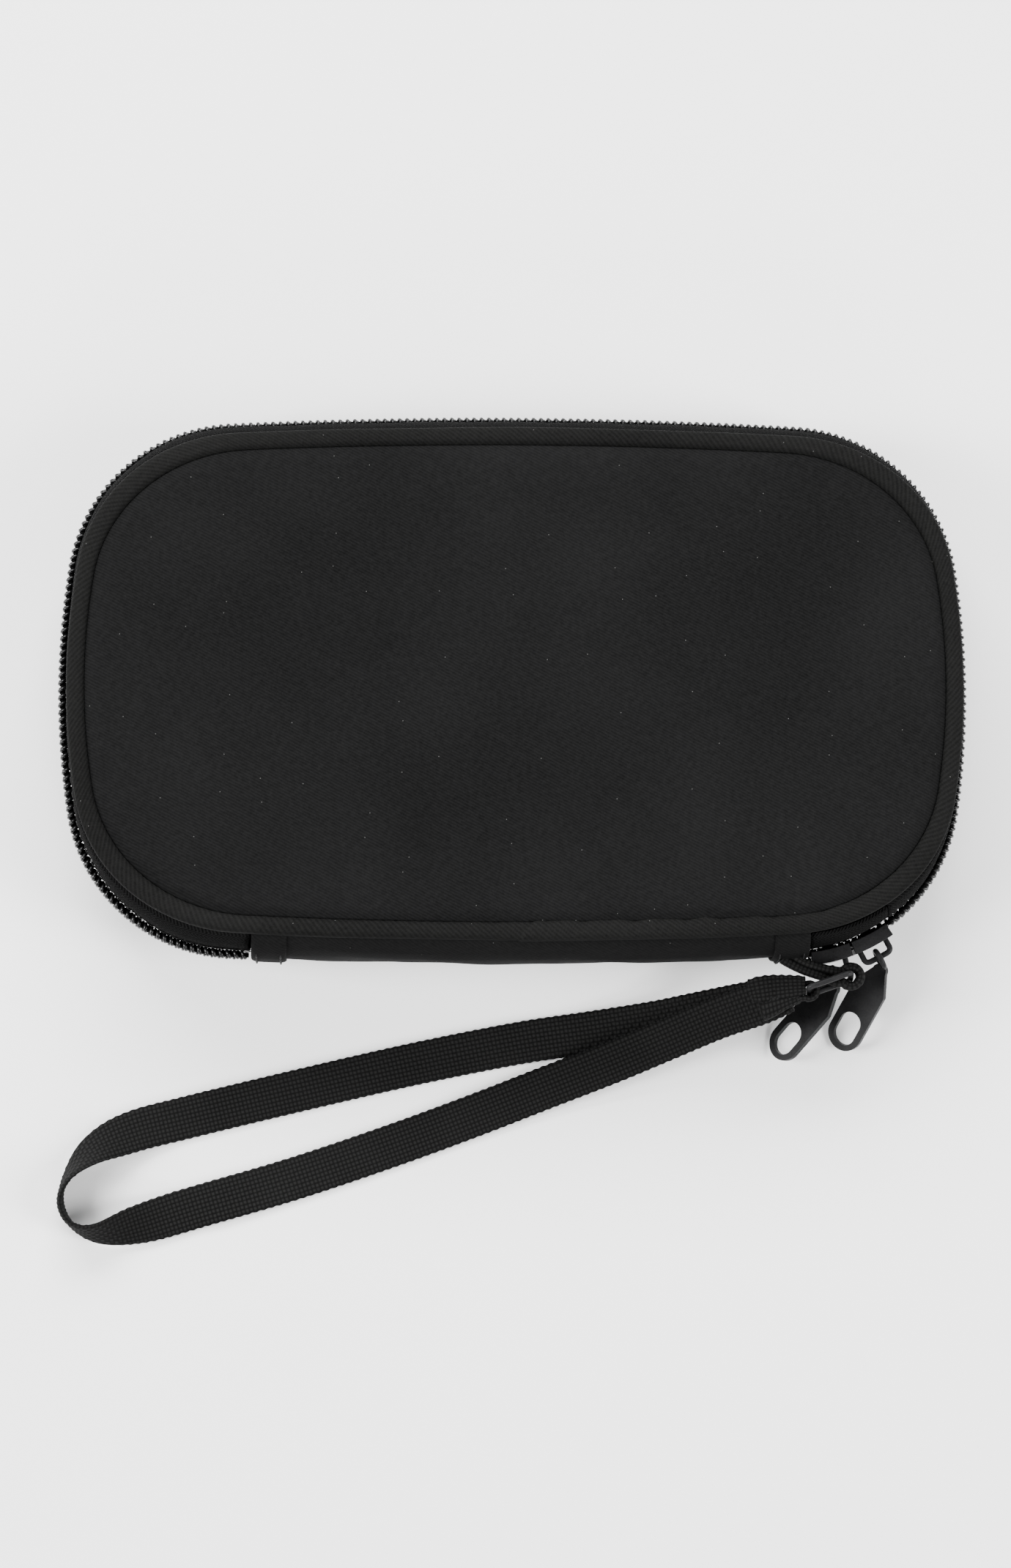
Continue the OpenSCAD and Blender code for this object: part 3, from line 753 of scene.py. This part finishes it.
zip_z = (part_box("back_zip_coil")[1].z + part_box("front_zip_coil")[0].z) / 2
tape_back = 2.3 * mm
tape_t = 0.7 * mm
slider_end_a = math.radians(-54.2)
front_zip_start = arc_ends[1] + corner_r * (slider_end_a - (down + long_a))


def zip_tape(name, s0, s1, foot_z, coil_z, sewn_in=1.0):
    """A tape between two lengths round the zip, from its foot to the coil. Where it is sewn
    in, its foot runs on into the binding's seam."""
    s = np.linspace(s0, s1, int((s1 - s0) / (1.2 * mm)) + 2)
    edge, outward = on_edge(s)
    outer, inner = [], []
    foot_end = 0.16
    foot_slope = 1 if coil_z > foot_z else 4 / 7
    for t in [-foot_end * sewn_in, -foot_end * sewn_in / 2, *np.linspace(0, 1, 9)]:
        z = foot_z + (coil_z - foot_z) * t * (1 if t > 0 else foot_slope)
        bulge = math.sin(math.pi * min(max(t, 0) / 0.42, 1) / 2)
        into = 2.4 * mm * max(-t, 0) / foot_end
        dx, dy = 0.6 * mm * (1 - bulge) + into, 2.2 * mm * (1 - bulge) + into
        ripple = 0.07 * mm * np.sin(s * 2 * math.pi / 0.019 + 3 * t) * math.sin(math.pi * t)
        for side, rows in ((0, outer), (1, inner)):
            back = tape_back + tape_t * side
            ring = drawn_in(edge - outward * (back - ripple)[:, None], dx, dy)
            rows.append(np.column_stack([ring, np.full(len(s), z)]))
    return sewn_up(name, np.stack(outer + inner[::-1], axis=1), cloth=tape_weave)


zip_left_s = girth - 0.2 * mm
back_foot_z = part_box("back_zip_tape")[0].z
front_foot_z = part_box("front_zip_tape")[1].z
back_edge_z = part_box("back_zip_tape")[1].z
front_edge_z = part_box("front_zip_tape")[0].z
back_tape = zip_tape("back_tape_weave", zip_right, zip_left_s, back_foot_z, back_edge_z)
fixed(back_tape, "pouch_back", "zip_tape", "back_zip_tape")
front_tape = zip_tape("front_tape_weave", front_zip_start, zip_left_s, front_foot_z, front_edge_z)
fixed(front_tape, "front_cover", "zip_tape", "front_zip_tape")
last_stop = front_zip_start - 0.3 * mm
last_tape = zip_tape("front_tape_end_weave", zip_right, last_stop,
                     front_foot_z, front_edge_z, 0.0)
fixed(last_tape, "pouch_back", "zip_tape", "front_tape_end")

# ---- The zip coils ----
# Each coil is one nylon thread wound round a cord into teeth 1.65 mm apart, and sewn to its
# tape. The two coils mesh head to head, a half step apart, and stitches hold each to its tape.
coil_nylon, tree, shader = stuff("coil_nylon", 0.28, specular=0.3)
rub = cloudy(tree, on_piece(tree), 900.0)
coloured(tree, shader, rub, (0.0010, 0.0010, 0.0012), (0.005, 0.005, 0.0053))
roughened(tree, shader, rub, 0.25, 0.16)

tooth = 1.65 * mm
coil_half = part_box("back_zip_coil")[1].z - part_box("back_zip_coil")[0].z


def tube_rows(line, radius, sides, closed=False):
    """Rings of points along a thread: round, with one radius for each point or for all."""
    line = np.asarray(line, float)
    if closed:
        ahead = unit(np.roll(line, -1, axis=0) - np.roll(line, 1, axis=0))
    else:
        ahead = unit(np.gradient(line, axis=0))
    side = np.empty_like(line)
    side[0] = unit(np.cross(ahead[0], [0.13, 0.31, 0.94]))
    for k in range(1, len(line)):
        side[k] = unit(side[k - 1] - ahead[k] * np.dot(side[k - 1], ahead[k]))
    if closed:
        drift = unit(side[-1] - ahead[0] * np.dot(side[-1], ahead[0]))
        twist = math.atan2(np.dot(np.cross(drift, side[0]), ahead[0]), np.dot(drift, side[0]))
        share = np.arange(len(line))[:, None] / len(line)
        turned = np.cross(ahead, side)
        side = side * np.cos(twist * share) + turned * np.sin(twist * share)
    up = np.cross(ahead, side)
    turn = np.linspace(0, 2 * math.pi, sides, endpoint=False)
    radius = np.broadcast_to(radius, (len(line),))[:, None, None]
    round_it = np.cos(turn)[None, :, None] * side[:, None] + np.sin(turn)[None, :, None] * up[:, None]
    return line[:, None] + radius * round_it


def coil_of_teeth(name, s0, s1, base_z, head_z, late):
    """The wound thread: each turn runs from the tape's side round the head and back."""
    turns = int((s1 - s0) / tooth)
    steps = 12
    count = turns * steps
    phase = np.arange(count + 1) / steps
    turn = 2 * math.pi * phase
    s = s0 + (phase + late + 0.08 * np.sin(2 * turn)) * tooth
    edge, outward = on_edge(s)
    mid_z, half_z = (base_z + head_z) / 2, (head_z - base_z) / 2
    across = np.sign(np.cos(turn)) * np.abs(np.cos(turn)) ** 0.8
    deep = np.sign(np.sin(turn)) * np.abs(np.sin(turn)) ** 0.8
    back = 1.12 * mm + deep * 0.70 * mm
    z = mid_z + across * half_z
    line = np.column_stack([edge - outward * back[:, None], z])
    swell = 0.40 * mm + 0.07 * mm * np.clip(across * np.sign(half_z), 0, 1) ** 4
    return sewn_up(name, tube_rows(line, swell, 6), cloth=coil_nylon)


def core_cord(name, s0, s1, z, body):
    """The cord that the turns are wound round."""
    s = np.linspace(s0, s1, int((s1 - s0) / (1.6 * mm)) + 2)
    edge, outward = on_edge(s)
    line = np.column_stack([edge - outward * 1.15 * mm, np.full(len(s), z)])
    core = sewn_up(name, tube_rows(line, 0.52 * mm, 8), cloth=tape_weave)
    fixed(core, body, "zip_tape")


mesh_over = 0.35 * mm
thread_r = 0.4 * mm
core_rise = 1.1 * mm
core_cord("back_coil_core", zip_right, zip_left_s, zip_z - core_rise, "pouch_back")
core_cord("front_coil_core", front_zip_start, zip_left_s, zip_z + core_rise, "front_cover")
core_cord("front_coil_end_core", zip_right, last_stop, zip_z + core_rise, "pouch_back")
back_root, back_head = back_edge_z - coil_half + thread_r, zip_z + mesh_over - thread_r
front_root, front_head = front_edge_z + coil_half - thread_r, zip_z - mesh_over + thread_r
back_coil = coil_of_teeth("back_coil_teeth", zip_right, zip_left_s, back_root, back_head, 0.0)
fixed(back_coil, "pouch_back", "coil", "back_zip_coil")
front_coil = coil_of_teeth("front_coil_teeth", front_zip_start, zip_left_s, front_root, front_head, 0.5)
fixed(front_coil, "front_cover", "coil", "front_zip_coil")
last_coil = coil_of_teeth("front_coil_end_teeth", zip_right, last_stop, front_root, front_head, 0.5)
fixed(last_coil, "pouch_back", "coil", "front_coil_end")

sewing_thread, tree, shader = stuff("sewing_thread", 0.5, sheen=0.01, specular=0.12)
plies = cloudy(tree, on_piece(tree), 4000.0)
coloured(tree, shader, plies, (0.0015, 0.0015, 0.0015), (0.009, 0.009, 0.009))
raised(tree, shader, plies, 0.00008, 0.6)


def row_of_stitches(name, starts, ends, outs, radius, bow, sink=0.0):
    """Stitches as short bowed threads, each from a start to an end, standing out by its bow."""
    work = bmesh.new()
    for a, b, out in zip(starts, ends, outs):
        t = np.linspace(0, 1, 7)[:, None]
        rise = np.sin(math.pi * t) * (bow + sink) - sink
        line = np.asarray(a) * (1 - t) + np.asarray(b) * t + np.asarray(out) * rise
        thick = radius * (0.55 + 0.45 * np.sin(math.pi * t[:, 0]))
        rings = tube_rows(line, thick, 6)
        made = [[work.verts.new(p) for p in ring] for ring in rings]
        for ring, nxt in zip(made, made[1:]):
            for k in range(6):
                work.faces.new([ring[k], ring[(k + 1) % 6], nxt[(k + 1) % 6], nxt[k]])
        work.faces.new(made[0][::-1])
        work.faces.new(made[-1])
    made = bpy.data.meshes.new(name)
    work.to_mesh(made)
    work.free()
    return finished(name, made, sewing_thread)


def tape_stitches(name, s0, s1, z, body):
    """The row that holds a tape's coil, seen on the tape's outer face."""
    s = np.arange(s0 + 1 * mm, s1 - 1 * mm, 2 * tooth)
    edge, outward = on_edge(s)
    edge_b, outward_b = on_edge(s + 1.5 * tooth)
    back = tape_back - 0.12 * mm
    a = np.column_stack([edge - outward * back, np.full(len(s), z)])
    b = np.column_stack([edge_b - outward_b * back, np.full(len(s), z)])
    out = np.column_stack([outward, np.zeros(len(s))])
    row = row_of_stitches(name, a, b, out, 0.14 * mm, 0.16 * mm, 0.1 * mm)
    fixed(row, body, "zip_tape")


row_z = coil_half + 0.5 * mm
tape_stitches("back_tape_stitches", zip_right, zip_left_s, back_edge_z - row_z, "pouch_back")
tape_stitches("front_tape_stitches", front_zip_start, zip_left_s, front_edge_z + row_z, "front_cover")

# ---- The spine and its end tabs ----
# A strip of the twill joins the two halves along one long side and is the pouch's hinge. It
# is lined, and a folded tab is sewn over each end of the zip, with two rows of stitches.
spine_twill = twill("spine_twill", (0.0009, 0.0009, 0.0009), (0.0095, 0.0095, 0.0095),
                    0.7, math.radians(35), 0.7, 0.003, mapped=True)
spine_foot = spine_low.z
spine_top = spine_high.z
# each point is how far in from the outline, in millimetres, and its share of the spine's height
spine_points = ((5.8, -0.065), (4.9, -0.04), (3.6, 0.0), (2.0, 0.10), (0.95, 0.24), (0.7, 0.42),
                (0.75, 0.60), (1.1, 0.76), (2.1, 0.90), (3.6, 1.0), (4.9, 1.04), (5.8, 1.065))


def cloth_band(name, x0, x1, stand_out, thick, cloth, step=1.2 * mm, ripple=0.16 * mm, edge_roll=0):
    """A bowed band of cloth along the spine, between two places on X, so thick and standing so
    far out, with rippled faces and its two ends rolled in."""
    n = int((x1 - x0) / step) + 2
    x = np.linspace(x0, x1, n)
    turn = down + np.arcsin(x / long_r)
    outward = np.column_stack([np.cos(turn), np.sin(turn)])
    edge = np.array([0, -long_y]) + long_r * outward
    near_end = np.minimum(x - x0, x1 - x)
    end_dip = edge_roll * np.exp(-near_end / (0.5 * mm))
    outer, inner = [], []
    for inset, t in spine_points:
        wave = ripple * np.sin(x * 2 * math.pi / 0.041 + 5 * t) * math.sin(math.pi * t)
        wave += 0.5 * ripple * np.sin(x * 2 * math.pi / 0.017 + 9 * t) * math.sin(math.pi * t)
        z = spine_foot + (spine_top - spine_foot) * t
        for back, rows in ((0, outer), (thick, inner)):
            away = -inset * mm + stand_out - back + wave - (end_dip if back == 0 else 0)
            ring = edge + outward * away[:, None]
            rows.append(np.column_stack([ring, np.full(n, z)]))
    return sewn_up(name, np.stack(outer + inner[::-1], axis=1), cloth=cloth)


spine_x0, spine_x1 = spine_low.x, spine_high.x


def hinged(piece, node):
    """The piece stands for that node, which is hidden, with its placing baked into its mesh."""
    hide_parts(node)
    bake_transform(piece)


spine_cloth = cloth_band("spine_cloth", spine_x0, spine_x1, 0, 0.8 * mm, spine_twill)
hinged(spine_cloth, "spine")
spine_inside = cloth_band("spine_lining_cloth", spine_x0, spine_x1, -0.9 * mm, 0.7 * mm, lining_cloth)
hinged(spine_inside, "spine_lining")

tab_stand = 0.95 * mm
for node in ("left_end_tab", "right_end_tab"):
    tab_low, tab_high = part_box(node)
    tab = cloth_band(node + "_cloth", tab_low.x, tab_high.x, tab_stand, 0.85 * mm, spine_twill,
                     0.35 * mm, 0.05 * mm, 0.45 * mm)
    hinged(tab, node)
    starts, ends, outs = [], [], []
    for x in (tab_low.x + 1.2 * mm, tab_high.x - 1.2 * mm):
        turn = down + math.asin(x / long_r)
        outward = np.array([math.cos(turn), math.sin(turn)])
        edge = np.array([0, -long_y]) + long_r * outward
        inset = np.array([p[0] for p in spine_points]) * mm
        t_at = np.array([p[1] for p in spine_points])
        for t in np.arange(0.08, 0.86, 0.1):
            for at, keep in ((t, starts), (t + 0.078, ends)):
                away = np.interp(at, t_at, -inset) + tab_stand
                keep.append([*(edge + outward * away), spine_foot + (spine_top - spine_foot) * at])
            outs.append([*outward, 0])
    sewn = row_of_stitches(node + "_stitches", starts, ends, outs, 0.2 * mm, 0.28 * mm, 0.1 * mm)
    fixed(sewn, "pouch_back", "binding")

# ---- The sliders and their crowns ----
# Die-cast sliders in black paint: two wings over the coils joined by a post, with lips along
# their sides. The crown is a small arch on the back that the pull's loop hangs on.
black_paint, tree, shader = stuff("black_paint", 0.4, coat=0.01, specular=0.045)
spot = on_piece(tree)
peel = cloudy(tree, spot, 1400.0)
rubbed = cloudy(tree, spot, 260.0, 4.0)
fine = cloudy(tree, spot, 2600.0)
worn = maths(tree, "MULTIPLY_ADD", rubbed, 0.5, maths(tree, "MULTIPLY", fine, 0.35))
coloured(tree, shader, worn, (0.002, 0.002, 0.0021), (0.032, 0.032, 0.033))
roughened(tree, shader, rubbed, 0.2, 0.2)
raised(tree, shader, peel, 0.00002, 0.25)


def cast_metal(name, node, body, bevel):
    """A cast or stamped piece: the node's own shape with its edges rounded over."""
    made = bpy.data.meshes.new(name)
    work = bmesh.new()
    work.from_mesh(frame["nodes"][node].data)
    bmesh.ops.remove_doubles(work, verts=work.verts, dist=1e-6)
    bmesh.ops.dissolve_limit(work, angle_limit=math.radians(1.5), verts=work.verts, edges=work.edges)
    sharp = [e for e in work.edges if len(e.link_faces) == 2 and e.calc_face_angle(0) > math.radians(35)]
    bmesh.ops.bevel(work, geom=sharp, offset=bevel, segments=3, profile=0.6, affect="EDGES",
                    clamp_overlap=True)
    bmesh.ops.recalc_face_normals(work, faces=work.faces)
    work.to_mesh(made)
    work.free()
    flat_from = 2.5 * mm * mm
    for face in made.polygons:
        face.use_smooth = face.area < flat_from
    made.materials.append(black_paint)
    piece = bpy.data.objects.new(name, made)
    bpy.context.scene.collection.objects.link(piece)
    face_weights = piece.modifiers.new("face_weights", "WEIGHTED_NORMAL")
    face_weights.keep_sharp = True
    return fixed(piece, body, "black_metal", node)


cast_metal("left_slider_casting", "left_slider", "pouch_back", 0.22 * mm)
cast_metal("right_slider_casting", "right_slider", "right_slider_body", 0.22 * mm)


def crown_arch(name, node, body, at_a):
    """The arch: a round bar bent down at both ends into the slider's back."""
    bar_r = corner_r + 1.5 * mm + 2.7 * mm
    half = 3.15 * mm
    outward = np.array([math.cos(at_a), math.sin(at_a), 0])
    along = np.array([-math.sin(at_a), math.cos(at_a), 0])
    centre = np.array([corner_x, -corner_y, zip_z])
    path = [(-half, -2.9), (-half, -1.6), (-half, -0.9)]
    path += [(-half + 0.25 * mm, -0.35), (-half + 0.8 * mm, -0.06)]
    path += [(x * mm, 0) for x in (-1.6, 0, 1.6)]
    path += [(-x, d) for x, d in path[4::-1]]
    line = np.array([centre + along * x + outward * (bar_r + d * mm) for x, d in path])
    line = even_steps(smooth_line(line, 6), 0.16 * mm)
    arch = sewn_up(name, tube_rows(line, 0.65 * mm, 14), cloth=black_paint)
    return fixed(arch, body, "black_metal", node)


crown_arch("left_crown_arch", "left_crown", "pouch_back", math.radians(-76.4))
crown_arch("right_crown_arch", "right_crown", "right_slider_body", math.radians(-62))

# ---- The pulls ----
# Each pull is stamped from sheet with a round loop at its head, a neck, and a rounded tip with
# a big grip slot. The edges are tumbled round before painting.
cast_metal("left_pull_stamping", "left_pull", "left_pull_body", 0.3 * mm)
cast_metal("right_pull_stamping", "right_pull", "right_pull_body", 0.3 * mm)

# ---- The strap's ribbon tab, ring and sewn eye ----
# A folded ribbon sewn to the spine's right end holds a wire ring on edge. The strap's own end
# is folded round the ring's far side and bar-tacked to the hand loop's two ends.
tab_low, tab_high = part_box("strap_tab")
ring_low, ring_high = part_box("strap_ring")
eye_low, eye_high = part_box("strap_eye")
tab_eye = np.array([73.6, -63.2]) * mm
ring_end = np.array([64.4, -66.4]) * mm


def folded_ribbon(name, points, bottom, top, thick, node, body, finish):
    """A ribbon standing on edge along a bent line in plan, its edges rounded and toothed."""
    line = even_steps(smooth_line(np.array(points) * mm, 8), 0.22 * mm)
    ahead = unit(np.gradient(line, axis=0))
    side = np.column_stack([-ahead[:, 1], ahead[:, 0]])
    reach = run_length(np.column_stack([line, 0 * line[:, 0]]))
    picks = np.cos(math.pi * reach / (0.6 * mm))
    tall = np.linspace(0, 1, 12)
    plump = (1 - np.abs(2 * tall - 1) ** 5) ** 0.5
    outer, inner = [], []
    for t, p in zip(tall, plump):
        weave = 0.07 * mm * picks * math.cos(math.pi * t * 7)
        z = bottom + (top - bottom) * t + 0.06 * mm * picks * (2 * t - 1) ** 3
        for sign, rows in ((1, outer), (-1, inner)):
            away = sign * max(p, 0.12) * (thick / 2 - 0.05 * mm) + sign * weave
            rows.append(np.column_stack([line + side * away[:, None], z]))
    ribbon = sewn_up(name, np.stack(outer + inner[::-1], axis=1), cloth=webbing)
    return fixed(ribbon, body, finish, node)


def loop_round(centre, radius, start, end, turns=12):
    """Points round a loop in plan, in millimetres, between two directions in degrees."""
    return [(centre[0] / mm + radius * math.cos(math.radians(a)),
             centre[1] / mm + radius * math.sin(math.radians(a)))
            for a in np.linspace(start, end, turns)]


tab_line = [(58.5, -59.4), (61, -60.8), (64, -62.1), (67.6, -63.3), (70.4, -64.6)]
tab_line += loop_round(tab_eye, 2.12, 215, 505)
tab_line += [(69.6, -61.9), (66.5, -61.2), (63.4, -60.2), (60.5, -58.6)]
folded_ribbon("strap_tab_ribbon", tab_line, tab_low.z, tab_high.z, 1.95 * mm, "strap_tab",
              "pouch_back", "webbing")
eye_line = [(60.6, -67.9), (61.6, -68.0), (62.9, -68.0)]
eye_line += loop_round(ring_end, 1.72, -115, 115)
eye_line += [(62.9, -64.9), (61.6, -65.6), (60.6, -66.3)]
folded_ribbon("strap_eye_ribbon", eye_line, eye_low.z, eye_high.z, 1.3 * mm, "strap_eye",
              "wrist_strap_body", "webbing")

# the strap's two ends and the eye's, gathered and wrapped in one turn of webbing
wrap_from = np.array([53.5, -68.7, 17.2]) * mm
wrap_to = np.array([62.9, -66.55, 19.5]) * mm
wrap_n = 60
rows = []
for k in range(wrap_n):
    t = k / (wrap_n - 1)
    ease = t * t * (3 - 2 * t)
    mid = wrap_from * (1 - t) + wrap_to * t + np.array([0, 0, 1.3 * mm]) * math.sin(math.pi * t) * 0.6
    wide = (4.4 * (1 - ease) + 2.3 * ease) * mm
    deep = (2.75 * (1 - ease) + 2.2 * ease) * mm
    close = min(1, 0.55 + 6 * min(t, 1 - t))
    turn = np.linspace(0, 2 * math.pi, 44, endpoint=False)
    weave = 0.08 * mm * np.cos(math.pi * k * 0.27) * np.cos(turn * 11)
    a = np.sign(np.cos(turn)) * np.abs(np.cos(turn)) ** 0.55 * (wide * close + weave)
    b = np.sign(np.sin(turn)) * np.abs(np.sin(turn)) ** 0.75 * (deep * close + weave)
    lean_a = math.radians(4 - 4 * t)
    side = np.array([0.16, -math.cos(lean_a), math.sin(lean_a)])
    rise = np.array([-0.1, math.sin(lean_a), math.cos(lean_a)])
    rows.append(mid + a[:, None] * side + b[:, None] * rise)
wrap = sewn_up("strap_end_wrap", np.array(rows), cloth=webbing)
fixed(wrap, "wrist_strap_body", "webbing")
fold_route = [
    (0.0516, -0.0664, 0.0186, 14, 0.56),
    (0.0536, -0.0661, 0.0196, 10, 0.62),
    (0.0560, -0.0658, 0.0199, 2, 0.62),
    (0.0586, -0.0656, 0.0205, -3, 0.58),
    (0.0612, -0.0654, 0.0208, 0, 0.52),
    (0.0634, -0.0653, 0.0204, 4, 0.46),
]
end_fold, _ = woven_strip("strap_end_fold", fold_route)
fixed(end_fold, "wrist_strap_body", "webbing")

ring_wire = 1.3 * mm
ring_bottom, ring_top = ring_low.z + ring_wire / 2, ring_high.z - ring_wire / 2
to_strap = ring_end - tab_eye
ring_l = float(np.linalg.norm(to_strap))
to_strap = to_strap / ring_l
bend = 1.0 * mm
ring_h = ring_top - ring_bottom
ring_tilt = math.radians(14)
ring_line = []
for cx, cz, start in ((bend, bend, 180), (ring_l - bend, bend, 270),
                      (ring_l - bend, ring_h - bend, 0), (bend, ring_h - bend, 90)):
    for a in np.radians(np.linspace(start, start + 90, 9)):
        along = cx + bend * math.cos(a)
        above = cz + bend * math.sin(a) - ring_h / 2
        rise = ring_h / 2 + above * math.cos(ring_tilt)
        off = np.array([to_strap[1], -to_strap[0]]) * above * math.sin(ring_tilt)
        ring_line.append([*(tab_eye + to_strap * along + off), ring_bottom + rise])
ring = sewn_up("strap_ring_wire", tube_rows(np.array(ring_line), ring_wire / 2, 16, closed=True),
               run_closes=True, cloth=black_paint)
fixed(ring, "strap_ring_body", "black_metal", "strap_ring")
